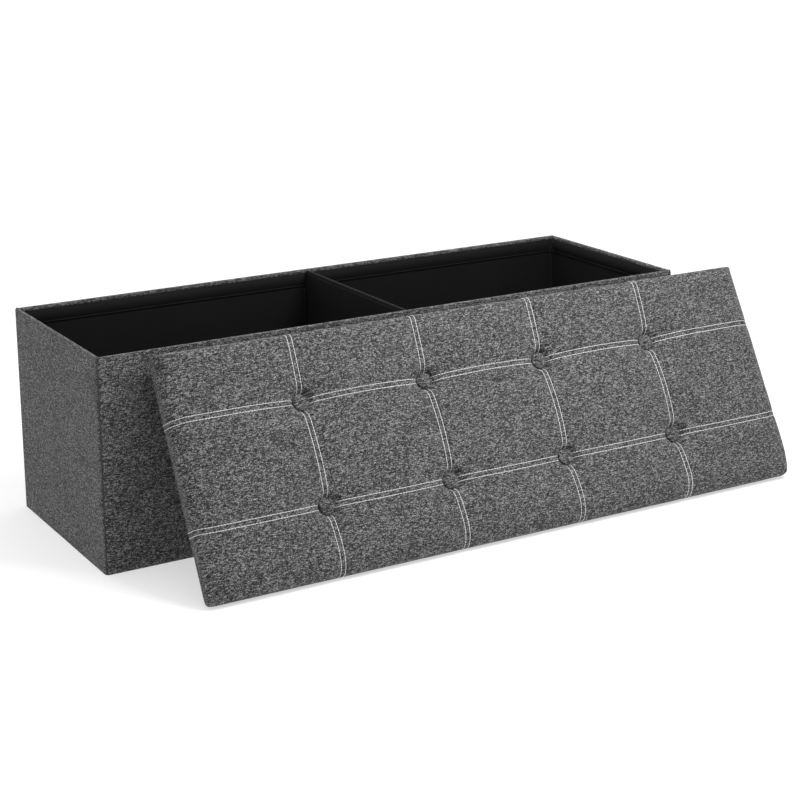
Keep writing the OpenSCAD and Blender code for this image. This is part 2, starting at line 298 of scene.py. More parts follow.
CLOTH = linen_look_upholstery()
LINING = spunbond_lining()
TOP_THREAD = bonded_thread("light_grey_thread", "b4b4b4", "dadada")
BLACK_THREAD = bonded_thread("black_thread", "0c0c0c", "1c1c1c")
FIBREBOARD = raw_fibreboard()
FOAM = polyurethane_foam()
ZINC = zinc_plated_steel()


# ---- making meshes ----

def ripple(*place):
    """Smooth noise from about -1 to 1 at a place."""
    return noise.noise(Vector(place))


def new_object(name, data):
    """A new object in the scene."""
    made = bpy.data.objects.new(name, data)
    bpy.context.scene.collection.objects.link(made)
    return made


def dressed(name, mesh, material, body):
    """A new piece of one material and smooth shading, which rides on a body."""
    mesh.polygons.foreach_set("use_smooth", [True] * len(mesh.polygons))
    mesh.materials.append(material)
    mesh.update()
    piece = new_object(name, mesh)
    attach(piece, body)
    return piece


def object_from(name, points, faces, uvs, material, body):
    """A new piece with its cloth coordinates, which rides on a body. uvs holds one pair for each point."""
    mesh = bpy.data.meshes.new(name)
    mesh.from_pydata([tuple(p) for p in points], [], faces)
    layer = mesh.uv_layers.new(name=UV_NAME)
    corners = np.empty(len(mesh.loops), np.int32)
    mesh.loops.foreach_get("vertex_index", corners)
    layer.data.foreach_set("uv", np.asarray(uvs, np.float32)[corners].ravel())
    return dressed(name, mesh, material, body)


def grid_faces(rows, columns):
    """Four-sided faces over a grid of points that are numbered row by row."""
    return [(j * columns + i, j * columns + i + 1, (j + 1) * columns + i + 1, (j + 1) * columns + i)
            for j in range(rows - 1) for i in range(columns - 1)]


def grid_edge(rows, columns):
    """Numbers of the points round such a grid, in order."""
    return (list(range(columns)) + [j * columns + columns - 1 for j in range(1, rows)]
            + [(rows - 1) * columns + i for i in range(columns - 2, -1, -1)]
            + [j * columns for j in range(rows - 2, 0, -1)])


def solidify(piece, thickness, offset=-1):
    """Gives a sheet its thickness, on the side away from its normals unless another offset is asked for."""
    modifier = piece.modifiers.new("thickness", "SOLIDIFY")
    modifier.thickness = thickness
    modifier.offset = offset


def smooth_out(piece):
    """Rounds a piece with a live subdivision surface."""
    modifier = piece.modifiers.new("smooth", "SUBSURF")
    modifier.levels = modifier.render_levels = 1


def stand_up(piece):
    """Takes a flat lid piece's mesh to the leaning lid."""
    piece.data.transform(LID)
    piece.data.update()
    return piece


# ---- the box's covers ----

def wall_column(turn, half_w, half_d, s, inset):
    """A point of a wall's plan at running length s from its middle, set in from the outside.

    turn is the wall's turn about Z from the front: 0, 90, 180 or 270 degrees. Its corners are round.
    """
    radius = max(CORNER_R - inset, 0.4 * MM)
    straight = half_w - CORNER_R
    if abs(s) <= straight:
        x, out = s / straight * (half_w - inset - radius), half_d - inset
    else:
        angle = (abs(s) - straight) / CORNER_R
        x = math.copysign(half_w - inset - radius + radius * math.sin(angle), s)
        out = half_d - inset - radius + radius * math.cos(angle)
    place = Matrix.Rotation(turn, 2) @ Vector((x, -out))
    return place.x, place.y


def cover(name, node, turn, half_w, half_d, creased):
    """Grey cloth over one wall: up its outside, round the rim and a little way down inside."""
    rim_r = 2 * MM
    straight = half_w - CORNER_R
    quarter = CORNER_R * math.pi / 4
    seam_gap = 0.9 * MM      # from the cloth's edge to the middle of the corner
    rows_up = 38
    arc = [straight + quarter * f for f in (0.3, 0.6, 0.8, 0.92)] + [straight + quarter - seam_gap]
    even = np.linspace(-straight, straight, int(2 * straight / (9 * MM)))
    if creased:  # down the middle, where the end wall folds
        even = sorted(set(even.round(6)) | {k * MM for k in (-4, -2.5, -1.2, 0, 1.2, 2.5, 4)})
    columns = [-s for s in reversed(arc)] + list(even) + arc
    outside = [(0, z, 1) for z in np.linspace(0, BOX_H - rim_r, rows_up)]
    bends = np.linspace(0, math.pi / 2, 5)
    bend_z = BOX_H - rim_r
    over = [(rim_r * (1 - math.cos(a)), bend_z + rim_r * math.sin(a), math.cos(a)) for a in bends[1:]]
    over += [(WALL_T - rim_r + rim_r * math.sin(a), bend_z + rim_r * math.cos(a), -math.sin(a)) for a in bends]
    inside = [(WALL_T, z, -1) for z in np.linspace(BOX_H - rim_r, LINING_TOP, 3)[1:]]
    rows = outside + over + inside  # inset, height, and which way the cloth faces: 1 out, -1 in
    points, uvs = [], []
    length = 0
    before = rows[0]
    for row in rows:
        inset, z, facing = row
        length += math.hypot(row[0] - before[0], row[1] - before[1])
        before = row
        for s in columns:
            seam = math.exp(-((straight + quarter - abs(s)) / (2 * MM)) ** 2)
            crease = math.exp(-(s / (2 * MM)) ** 2) if creased else 0
            near_seam = math.exp(-(straight + quarter - abs(s)) / (22 * MM))
            rim = math.exp(-((z - BOX_H) / (12 * MM)) ** 2)
            pull = (1.7 * seam + 0.5 * crease + 0.35 * seam * ripple(turn, z * 140, s)) * MM
            pull += (0.28 * near_seam * ripple(turn + s * 8, z * 75, 3.1)
                     + 0.12 * rim * ripple(turn + s * 34, z * 20, 7.7)
                     + 0.18 * ripple(turn * 3 + s * 7, z * 9, 1.7)) * MM
            x, y = wall_column(turn, half_w, half_d, s, inset + pull * facing)
            drop = (0.8 * crease * rim + 0.12 * rim * (1 + ripple(turn * 5 + s * 26, 2.2, 0))) * MM
            points.append((x, y, z - drop))
            uvs.append((s + turn * 1.3, length))
    piece = object_from(name, points, grid_faces(len(rows), len(columns)), uvs, CLOTH, "box")
    solidify(piece, CLOTH_T)
    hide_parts(node)


def make_covers():
    """The four walls' covers. Each is the front's, turned about Z."""
    quarter_turn = math.pi / 2
    cover("front_upholstery", "front_cover", 0, BOX_X, BOX_Y, False)
    cover("right_upholstery", "right_cover", quarter_turn, BOX_Y, BOX_X, True)
    cover("back_upholstery", "back_cover", 2 * quarter_turn, BOX_X, BOX_Y, False)
    cover("left_upholstery", "left_cover", 3 * quarter_turn, BOX_Y, BOX_X, True)


# ---- the lid's padded cover ----

def grid_lines(half, seams, low_roll, high_roll):
    """Places of the padded face's grid lines: even, closer beside the seams, and round the rolled edges."""
    beside = (1.5, 3.9, 6.3, 8.8, 11.5, 14.2, 16.5, 19)
    fine = [c + side * k * MM for c in seams for k in beside for side in (-1, 1)]
    low, high = low_roll - half, half - high_roll
    even = np.linspace(low, high, int((high - low) / (7 * MM)))
    kept = [x for x in even if min(abs(x - f) for f in fine) > 3.5 * MM or not low + MM < x < high - MM]
    bends = [math.sin(math.radians(a)) for a in (14, 27, 40, 52, 63, 74, 83, 90)]
    return sorted(fine + kept + [high + high_roll * b for b in bends] + [low - low_roll * b for b in bends])


def tuft_arch(distance, span):
    """How much of a button's pull is left at a distance from it: all at 0, none at the span."""
    return (1 - min(distance / span, 1)) ** 2


def padded_point(x, y):
    """A point of the padded face, from its place on a flat rectangle centred on the lid."""
    half_w, half_d = LID_W / 2, LID_D / 2
    seam_y = [s - half_d for s in SEAM_Y]
    to_x = min(abs(x - s) for s in SEAM_X)
    to_y = min(abs(y - s) for s in seam_y)
    span_x = (SEAM_X[1] - SEAM_X[0]) / 2
    inner = seam_y[0] < y < seam_y[1]
    span_y = (seam_y[1] - seam_y[0]) / 2 if inner else half_d - seam_y[1]
    away = math.hypot(to_x, to_y)

    z = LID_T + 0.8 * MM
    z -= TUFT_DEPTH * tuft_arch(to_x, span_x) * tuft_arch(to_y, span_y)
    z -= LOWER_SAG * math.exp(-((y + half_d) / (28 * MM)) ** 2)
    dip_start, dip_length = 24 * MM, 11 * MM
    step = min(max((dip_start - away) / dip_length, 0), 1)
    z -= CRATER_DEPTH * step * step * (3 - 2 * step)
    groove_depth, groove_r, groove_width = 4 * MM, 13.8 * MM, 2.6 * MM  # that the button's rim sinks into
    z -= groove_depth * math.exp(-((away - groove_r) / groove_width) ** 2)
    for to_seam in (to_x, to_y):
        z -= 0.9 * MM * math.exp(-((to_seam - STITCH_OFF) / (1.3 * MM)) ** 2)
        z -= 1.2 * MM * math.exp(-(to_seam / (11 * MM)) ** 2)
    fold = math.exp(-((away - 19 * MM) / (9 * MM)) ** 2)
    z += 0.7 * MM * fold * ripple(x * 95, y * 95, 5.3)
    z += (0.7 * ripple(x * 11, y * 11, 0.4) + 0.35 * ripple(x * 34, y * 34, 2.6)) * MM

    # The seams bow outwards a little between the buttons, where the padding spreads them
    free_x, free_y = 1 - tuft_arch(to_x, span_x), 1 - tuft_arch(to_y, span_y)
    bow_x = 1.2 * MM * free_y * math.exp(-(to_x / (60 * MM)) ** 2) * x / half_w
    bow_y = 2.0 * MM * free_x * math.exp(-(to_y / (60 * MM)) ** 2) * (1 if y > 0 else -1)

    # Round the rolled edge down to the lid's side
    a = max((abs(x) - (half_w - END_ROLL[0])) / END_ROLL[0], 0)
    long_roll = UPPER_ROLL if y > 0 else LOWER_ROLL
    b = max((abs(y) - (half_d - long_roll[0])) / long_roll[0], 0)
    if a or b:
        rim = min(max(a, b), 1)
        squeeze = rim / (a ** 7 + b ** 7) ** (1 / 7)
        height = (a * a * END_ROLL[1] + b * b * long_roll[1]) / (a * a + b * b)
        z -= height * (1 - math.sqrt(1 - rim * rim))
        if a:
            x = math.copysign(half_w - END_ROLL[0] + a * squeeze * END_ROLL[0], x)
        if b:
            y = math.copysign(half_d - long_roll[0] + b * squeeze * long_roll[0], y)
        bow_x, bow_y = bow_x * (1 - rim), bow_y * (1 - rim)
    return Vector((x + bow_x, y + bow_y + half_d, z))


def make_lid_cover():
    """The padded cover as one closed form, and the lines of its grid that its topstitching follows."""
    xs = grid_lines(LID_W / 2, SEAM_X, END_ROLL[0], END_ROLL[0])
    ys = grid_lines(LID_D / 2, [s - LID_D / 2 for s in SEAM_Y], LOWER_ROLL[0], UPPER_ROLL[0])
    columns, rows = len(xs), len(ys)
    points = [padded_point(x, y) for y in ys for x in xs]
    uvs = [(x, y) for y in ys for x in xs]
    faces = grid_faces(rows, columns)

    edge = grid_edge(rows, columns)
    count = len(edge)
    rim = [points[i] for i in edge]
    outward = []
    for k in range(count):
        along = rim[(k + 1) % count] - rim[k - 1]
        outward.append(Vector((along.y, -along.x, 0)).normalized())
    # Down the side, round its lower edge and in under the board: share of the rim's height, and inset in mm
    side = [(0.75, -0.5), (0.45, -0.7), (0.2, -0.4), (0.08, 0.2), (0.02, 1.0), (0.0, 2.4), (0.0, 12), (0.0, 22)]
    rings_on_side = 4
    ring = edge
    for share, inset in side:
        first = len(points)
        for k in range(count):
            wave = 0.35 * ripple(rim[k].x * 22, rim[k].y * 22, share * 3) if share > 0.1 else 0
            place = rim[k] - outward[k] * (inset + wave) * MM
            place.z = rim[k].z * share
            step = (place - points[ring[k]]).length
            u, v = uvs[ring[k]]
            points.append(place)
            uvs.append((u + outward[k].x * step, v + outward[k].y * step))
        following = list(range(first, first + count))
        faces += [(ring[k], following[k], following[(k + 1) % count], ring[(k + 1) % count]) for k in range(count)]
        ring = following
    # Across the underside: a strip from each column's front to its back, and one face at each end
    top_right, top_left = columns + rows - 2, 2 * columns + rows - 3
    for k in range(1, columns - 2):
        faces.append((ring[k + 1], ring[k], ring[top_left - k], ring[top_left - k - 1]))
    faces.append(tuple(reversed([ring[columns - 2]] + ring[columns - 1:top_right + 1] + [ring[top_right + 1]])))
    faces.append(tuple(reversed([ring[top_left - 1]] + ring[top_left:] + [ring[0], ring[1]])))
    piece = object_from("lid_upholstery", points, faces, uvs, CLOTH, "lid")
    bm = bmesh.new()
    bm.from_mesh(piece.data)
    bmesh.ops.recalc_face_normals(bm, faces=bm.faces)
    bm.to_mesh(piece.data)
    bm.free()
    let_swell(piece, lid_holds(points), 1.8 * MM)
    smooth_out(piece)
    ring_of = {index: k for k, index in enumerate(edge)}

    def line(over):
        """A grid line's point numbers, with those below its two ends on the sides added."""
        below = [[rows * columns + r * count + ring_of[end] for r in range(rings_on_side)]
                 for end in (over[0], over[-1])]
        return below[0][::-1] + over + below[1]

    lines = []
    for seam in SEAM_X:
        for sign in (-1, 1):
            near = min(range(columns), key=lambda i: abs(xs[i] - seam - sign * STITCH_OFF))
            lines.append(line([j * columns + near for j in range(rows)]))
    for seam in SEAM_Y:
        for sign in (-1, 1):
            near = min(range(rows), key=lambda j: abs(ys[j] + LID_D / 2 - seam - sign * STITCH_OFF))
            lines.append(line([near * columns + i for i in range(columns)]))
    return piece, lines


# ---- stitches ----

def start_line_tree(name, **sizes):
    """Starts a node tree that sets small things along the lines of a mesh. sizes are its own inputs.

    Returns the tree, its inputs' sockets, the places along the lines, and the turns that follow the lines.
    """
    tree = bpy.data.node_groups.new(name, "GeometryNodeTree")
    tree.interface.new_socket("Geometry", in_out="INPUT", socket_type="NodeSocketGeometry")
    for size, value in sizes.items():
        socket = tree.interface.new_socket(size, in_out="INPUT", socket_type="NodeSocketFloat")
        socket.default_value = value
    tree.interface.new_socket("Material", in_out="INPUT", socket_type="NodeSocketMaterial")
    tree.interface.new_socket("Geometry", in_out="OUTPUT", socket_type="NodeSocketGeometry")
    given = tree.nodes.new("NodeGroupInput").outputs
    curve = add(tree, "GeometryNodeMeshToCurve", {"Mesh": given["Geometry"]})
    places = add(tree, "GeometryNodeResampleCurve", {"Curve": curve.outputs[0], "Length": given["Pitch"]},
                 mode="LENGTH")
    tangent = tree.nodes.new("GeometryNodeInputTangent")
    along = add(tree, "FunctionNodeAlignRotationToVector", {"Vector": tangent.outputs[0]}, axis="X")
    return tree, given, places.outputs[0], along.outputs[0]


def finish_line_tree(tree, given, values):
    """Ends such a tree: the things are set on their places, made a plain mesh and given their material."""
    placed = add(tree, "GeometryNodeInstanceOnPoints", values)
    real = add(tree, "GeometryNodeRealizeInstances", {0: placed.outputs[0]})
    done = add(tree, "GeometryNodeSetMaterial", {0: real.outputs[0], "Material": given["Material"]})
    add(tree, "NodeGroupOutput", {0: done.outputs[0]})
    return tree


def stitch_tree():
    """Geometry Nodes that lay a row of stitches along each line of a mesh, on the side that "out" points to."""
    tree, given, places, along = start_line_tree("stitches", Pitch=5 * MM, Length=5.4 * MM, Thickness=1.1 * MM)
    out = add(tree, "GeometryNodeInputNamedAttribute", {"Name": "out"}, data_type="FLOAT_VECTOR")
    turned = add(tree, "FunctionNodeAlignRotationToVector",
                 {"Rotation": along, "Vector": out.outputs["Attribute"]}, axis="Z", pivot_axis="X")
    grain = add(tree, "GeometryNodeMeshUVSphere", {"Segments": 8, "Rings": 5, "Radius": 0.5})
    size = add(tree, "ShaderNodeCombineXYZ", {0: given["Length"], 1: given["Thickness"], 2: given["Thickness"]})
    return finish_line_tree(tree, given, {"Points": places, "Instance": grain.outputs[0],
                                          "Rotation": turned.outputs[0], "Scale": size.outputs[0]})


STITCHES = stitch_tree()


def evaluated_mesh(piece):
    """A new plain mesh of a piece with its modifiers on."""
    return bpy.data.meshes.new_from_object(piece.evaluated_get(bpy.context.evaluated_depsgraph_get()))


def grown(name, source, tree, values, body):
    """A new piece with the plain mesh that a node tree grows from a source mesh."""
    piece = new_object(name, source)
    modifier = piece.modifiers.new("grow", "NODES")
    modifier.node_group = tree
    for item in tree.interface.items_tree:
        if item.in_out == "INPUT" and item.name in values:
            modifier[item.identifier] = values[item.name]
    mesh = evaluated_mesh(piece)
    piece.modifiers.remove(modifier)
    piece.data = mesh
    mesh.polygons.foreach_set("use_smooth", [True] * len(mesh.polygons))
    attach(piece, body)
    return piece


def sew(name, runs, thread, body, stitch):
    """One piece with all the stitches of the runs. A run is a list of (point, outward direction).

    stitch holds the stitches' pitch, length and thickness.
    """
    points, edges, out = [], [], []
    for run in runs:
        first = len(points)
        points += [tuple(p) for p, _ in run]
        out += [tuple(n) for _, n in run]
        edges += [(first + k, first + k + 1) for k in range(len(run) - 1)]
    source = bpy.data.meshes.new(name + "_lines")
    source.from_pydata(points, edges, [])
    attribute = source.attributes.new("out", "FLOAT_VECTOR", "POINT")
    attribute.data.foreach_set("vector", np.array(out, np.float32).ravel())
    pitch, length, thickness = stitch
    values = {"Pitch": pitch, "Length": length, "Thickness": thickness, "Material": thread}
    return grown(name, source, STITCHES, values, body)


def straight_run(start, end, out, count):
    """A run of stitches on a straight line, through evenly spaced points, that face one way."""
    return [(Vector(p), Vector(out)) for p in np.linspace(start, end, count)]


def upward_run(corners, z):
    """A run of stitches through (x, y) corners at one height, that face up."""
    return [(Vector((x, y, z)), Vector((0, 0, 1))) for x, y in corners]


def rectangle(x0, y0, x1, y1):
    """Corners of a rectangle, back to the first."""
    return [(x0, y0), (x1, y0), (x1, y1), (x0, y1), (x0, y0)]


def make_topstitching(cover_piece, lines):
    """Double rows of light thread over the lid, broken where the buttons cover them."""
    lift = 0.15 * MM
    clear = BUTTON_R + 0.3 * MM
    mesh = evaluated_mesh(cover_piece)
    places = [Vector(p) for p in coordinates(mesh)]
    normals = [n.vector.copy() for n in mesh.vertex_normals]
    bpy.data.meshes.remove(mesh)

    def is_hidden(index):
        return any(math.hypot(places[index].x - b.x, places[index].y - b.y) < clear for b in BUTTONS.values())

    runs = []
    for line in lines:
        for hidden, part in itertools.groupby(line, is_hidden):
            run = [(places[i] + normals[i] * lift, normals[i]) for i in part]
            if not hidden and len(run) > 1:
                runs.append(run)
    return stand_up(sew("lid_topstitching", runs, TOP_THREAD, "lid", TOP_STITCH))


def let_swell(piece, held, most):
    """Lets Cloth press the cover out over its foam, no further than most, and keeps the result as the mesh.

    held gives each point's hold, from 0, free, to 1, fixed.
    """
    scene = bpy.context.scene
    mesh = piece.data
    start = coordinates(mesh)
    group = piece.vertex_groups.new(name="held")
    for index, hold in enumerate(held):
        group.add([index], hold, "REPLACE")
    cloth = piece.modifiers.new("swell", "CLOTH")
    cloth.settings.quality = 4
    cloth.settings.mass = 0.2
    cloth.settings.tension_stiffness = cloth.settings.compression_stiffness = 25
    cloth.settings.shear_stiffness = 8
    cloth.settings.bending_stiffness = 1.5
    cloth.settings.use_pressure = True
    cloth.settings.uniform_pressure_force = 4
    cloth.settings.vertex_group_mass = "held"
    cloth.settings.effector_weights.gravity = 0
    cloth.collision_settings.use_collision = False
    cloth.point_cache.frame_start, cloth.point_cache.frame_end = 1, SWELL_FRAMES
    for frame_number in range(1, SWELL_FRAMES + 1):
        scene.frame_set(frame_number)
    swollen = evaluated_mesh(piece)
    moved = coordinates(swollen) - start
    bpy.data.meshes.remove(swollen)
    piece.modifiers.remove(cloth)
    piece.vertex_groups.remove(group)
    scene.frame_set(1)
    length = np.linalg.norm(moved, axis=1, keepdims=True)
    moved *= np.tanh(length / most) * most / np.maximum(length, 1e-9)
    mesh.vertices.foreach_set("co", (start + moved).ravel())
    mesh.update()


def lid_holds(points):
    """How firmly each point of the lid's cover is held: fixed at the edges and buttons, firm along the seams."""
    holds = []
    for p in points:
        to_x = min(abs(p.x - s) for s in SEAM_X)
        to_y = min(abs(p.y - s) for s in SEAM_Y)
        hold = max(math.exp(-(math.hypot(to_x, to_y) / (20 * MM)) ** 4),
                   0.8 * math.exp(-(min(to_x, to_y) / (6 * MM)) ** 2))
        on_side = max(abs(p.x) - (LID_W / 2 - END_ROLL[0]), p.y - (LID_D - UPPER_ROLL[0]), LOWER_ROLL[0] - p.y)
        holds.append(1.0 if on_side > 4 * MM or p.z < 12 * MM else min(hold, 1.0))
    return holds


def make_foam():
    """The foam under the cover, drawn down by the buttons in the same way and a little smaller all round."""
    half_w, half_d = LID_W / 2 - 3.5 * MM, LID_D / 2 - 3.5 * MM
    board_top = 10.2 * MM
    xs = np.linspace(-half_w, half_w, 141)
    ys = np.linspace(-half_d, half_d, 53)
    points, uvs = [], []
    for y in ys:
        for x in xs:
            place = padded_point(x, y)
            near_button = min(math.hypot(x - b.x, y + LID_D / 2 - b.y) for b in BUTTONS.values())
            under = (2.5 + 9 * math.exp(-(near_button / (26 * MM)) ** 4)) * MM
            place.z = max(place.z - under, board_top + 1 * MM)
            place.x *= half_w / (half_w + 1 * MM)
            points.append(place)
            uvs.append((x, y))
    count = len(points)
    points += [Vector((p.x, p.y, board_top)) for p in points]
    uvs += uvs
    top = grid_faces(len(ys), len(xs))
    faces = top + [tuple(count + i for i in reversed(face)) for face in top]
    edge = grid_edge(len(ys), len(xs))
    faces += [(b, a, count + a, count + b) for a, b in zip(edge, edge[1:] + edge[:1])]
    piece = object_from("compressed_foam", points, faces, uvs, FOAM, "lid")
    stand_up(piece)
    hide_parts("lid_foam")


# ---- thin linings, wrapped boards and tapes ----

def local_box(node, place=None):
    """Lowest and highest corners of a CAD node in a place's own directions."""
    points = coordinates(frame["nodes"][node].data)
    if place:
        turned = place.inverted()
        points = np.array([turned @ Vector(p) for p in points])
    return Vector(points.min(0)), Vector(points.max(0))


def islands(node):
    """Box of each separate solid in a CAD node."""
    bm = bmesh.new()
    bm.from_mesh(frame["nodes"][node].data)
    bmesh.ops.remove_doubles(bm, verts=bm.verts, dist=1e-6)
    boxes, seen = [], set()
    for start in bm.verts:
        if start in seen:
            continue
        group, todo = [], [start]
        seen.add(start)
        while todo:
            vert = todo.pop()
            group.append(vert.co.copy())
            for edge in vert.link_edges:
                other = edge.other_vert(vert)
                if other not in seen:
                    seen.add(other)
                    todo.append(other)
        boxes.append((Vector([min(p[i] for p in group) for i in range(3)]),
                      Vector([max(p[i] for p in group) for i in range(3)])))
    bm.free()
    return boxes


def lining_sheet(name, node, body, seed, wave=0.5 * MM, place=None):
    """Thin lining cloth that fills a CAD node's slab, with soft shallow waves."""
    low, high = local_box(node, place)
    size = high - low
    thin = min(range(3), key=lambda i: size[i])
    wide, tall = [i for i in range(3) if i != thin]
    cell = 11 * MM
    columns, rows = (max(int(size[i] / cell), 2) + 1 for i in (wide, tall))
    thickness = min(size[thin] * 0.8, 0.8 * MM)
    room = min(wave, (size[thin] - thickness) / 2 + 0.25 * MM)
    points, uvs = [], []
    for v in np.linspace(low[tall], high[tall], rows):
        for u in np.linspace(low[wide], high[wide], columns):
            near_edge = min(u - low[wide], high[wide] - u, v - low[tall], high[tall] - v)
            calm = 1 - math.exp(-near_edge / (14 * MM))
            bulge = 0.75 * ripple(u * 9 + seed, v * 13, seed) + 0.4 * ripple(u * 31, v * 24, seed + 4.2)
            spot = Vector((0, 0, 0))
            spot[wide], spot[tall] = u, v
            spot[thin] = (low[thin] + high[thin]) / 2 + room * calm * bulge
            points.append(spot)
            uvs.append((u, v))
    piece = object_from(name, points, grid_faces(rows, columns), uvs, LINING, body)
    solidify(piece, thickness, 0)
    if place:
        stand_up(piece)
    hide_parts(node)


def wrapped_slab(name, low, high, body, radius, seed, wave=0.25 * MM, place=None):
    """A board or strip wrapped tightly in cloth: a slab with rounded edges and slightly uneven faces."""
    size = high - low
    thin = min(range(3), key=lambda i: size[i])
    across = [i for i in range(3) if i != thin]
    cell = 16 * MM
    steps = [max(int(size[i] / cell), 1) for i in range(3)]
    steps[thin] = 1
    bm = bmesh.new()
    lines = [np.linspace(low[i], high[i], steps[i] + 1) for i in range(3)]
    for axis in range(3):
        a, b = [i for i in range(3) if i != axis]
        for end in (low[axis], high[axis]):
            made = []
            for v in lines[b]:
                for u in lines[a]:
                    spot = [0, 0, 0]
                    spot[axis], spot[a], spot[b] = end, u, v
                    made.append(bm.verts.new(spot))
            for face in grid_faces(len(lines[b]), len(lines[a])):
                bm.faces.new([made[i] for i in face])
    bmesh.ops.remove_doubles(bm, verts=bm.verts, dist=1e-6)
    bmesh.ops.recalc_face_normals(bm, faces=bm.faces)
    mesh = bpy.data.meshes.new(name)
    bm.to_mesh(mesh)
    bm.free()
    for vert in mesh.vertices:
        u, v = [vert.co[i] for i in across]
        inner = min(min(vert.co[i] - low[i], high[i] - vert.co[i]) for i in across)
        calm = 1 - math.exp(-max(inner, 0) / (10 * MM))
        towards = 1 if vert.co[thin] > (low[thin] + high[thin]) / 2 else -1
        vert.co[thin] += towards * wave * (calm * ripple(u * 16 + seed, v * 16, seed + towards) - 0.3)
    layer = mesh.uv_layers.new(name=UV_NAME)
    a, b = across
    for loop in mesh.loops:
        spot = mesh.vertices[loop.vertex_index].co
        layer.data[loop.index].uv = (spot[a] + 0.6 * spot[thin], spot[b] + spot[thin])
    piece = dressed(name, mesh, LINING, body)
    bevel = piece.modifiers.new("round", "BEVEL")
    bevel.width = radius
    bevel.segments = 3
    bevel.limit_method = "ANGLE"
    bevel.angle_limit = math.radians(60)
    if place:
        stand_up(piece)
    return piece


def make_linings():
    """The thin linings, hems and tapes of the box and the lid."""
    for seed, side in enumerate(("front", "back", "left", "right")):
        lining_sheet(side + "_lining_cloth", side + "_lining", "box", 1.3 + seed)
        lining_sheet(side + "_hem_band", side + "_hem", "box", 9.1 + seed, wave=0.2 * MM)
    lining_sheet("bottom_cloth_sheet", "bottom_cloth", "box", 5.9, wave=0.3 * MM)
    lining_sheet("underside_cloth_sheet", "lid_underside_cloth", "lid", 8.8, wave=0.2 * MM, place=LID)
    for side, seed in (("left", 0.7), ("right", 2.9)):
        hinge_body = body_of(frame["nodes"][side + "_cloth_hinge"])[0]
        lining_sheet(side + "_hinge_cloth", side + "_cloth_hinge", hinge_body, seed, wave=0.2 * MM)


def make_wrapped_boards():
    """The base boards, the divider with its guide ribs, and the strips under the lid, in lining cloth."""
    for side, seed in (("left", 0.7), ("right", 2.9)):
        low, high = local_box(side + "_base_wrap")
        wrap = wrapped_slab(side + "_wrapped_base_board", low, high, side + "_base", 1.6 * MM, seed)
        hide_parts(side + "_base_wrap")
    low, high = local_box("divider_wrap")
    wrap = wrapped_slab("wrapped_divider", low, high, "divider", 2.2 * MM, 6.4, wave=0.35 * MM)
    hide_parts("divider_wrap")
    ribs = [wrapped_slab(f"divider_rib_{i + 1}", low, high, "box", 2 * MM, 3.7 * i)
            for i, (low, high) in enumerate(islands("divider_guides"))]
    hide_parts("divider_guides")
    strips = [f"strip_{edge}_{side}" for edge in ("front", "back", "end") for side in ("left", "right")]
    for i, node in enumerate(strips):
        low, high = local_box(node, LID)
        strip = wrapped_slab("wrapped_" + node, low, high, "lid", 1.8 * MM, 1.9 * i, place=LID)
        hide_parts(node)


def make_pull_tabs():
    """Flat cloth tabs, folded double, sewn down at the hinge end and slightly raised at the free end."""
    sewn_share = 0.72  # from the free end to where the tab lies flat, as a share of its length
    for side, turn in (("left", 0.6), ("right", 1.9)):
        low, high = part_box(side + "_pull_tab")
        columns, rows = 10, 15
        points, uvs = [], []
        for j in range(rows):
            y = low.y + (high.y - low.y) * j / (rows - 1)
            free = max(1 - j / (rows - 1) / sewn_share, 0)
            for i in range(columns):
                x = low.x + (high.x - low.x) * i / (columns - 1)
                lift = 3.2 * MM * math.sin(free * math.pi * 0.55) + 0.25 * MM * ripple(x * 60, y * 60, turn)
                points.append((x, y, low.z + 0.7 * MM + max(lift, 0)))
                uvs.append((x, y))
        piece = object_from(side + "_cloth_pull_tab", points, grid_faces(rows, columns), uvs, CLOTH,
                            side + "_base")
        solidify(piece, 1.1 * MM, 0)
        bevel = piece.modifiers.new("edge", "BEVEL")
        bevel.width = 0.4 * MM
        bevel.segments = 2
        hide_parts(side + "_pull_tab")
        inset = 3 * MM
        square = rectangle(low.x + inset, high.y - 13 * MM, high.x - inset, high.y - inset)
        runs = [upward_run(run, low.z + 1.35 * MM) for run in (square, square[0:3:2], square[1:4:2])]
        sew(side + "_tab_stitches", runs, BLACK_THREAD, side + "_base", TAB_STITCH)


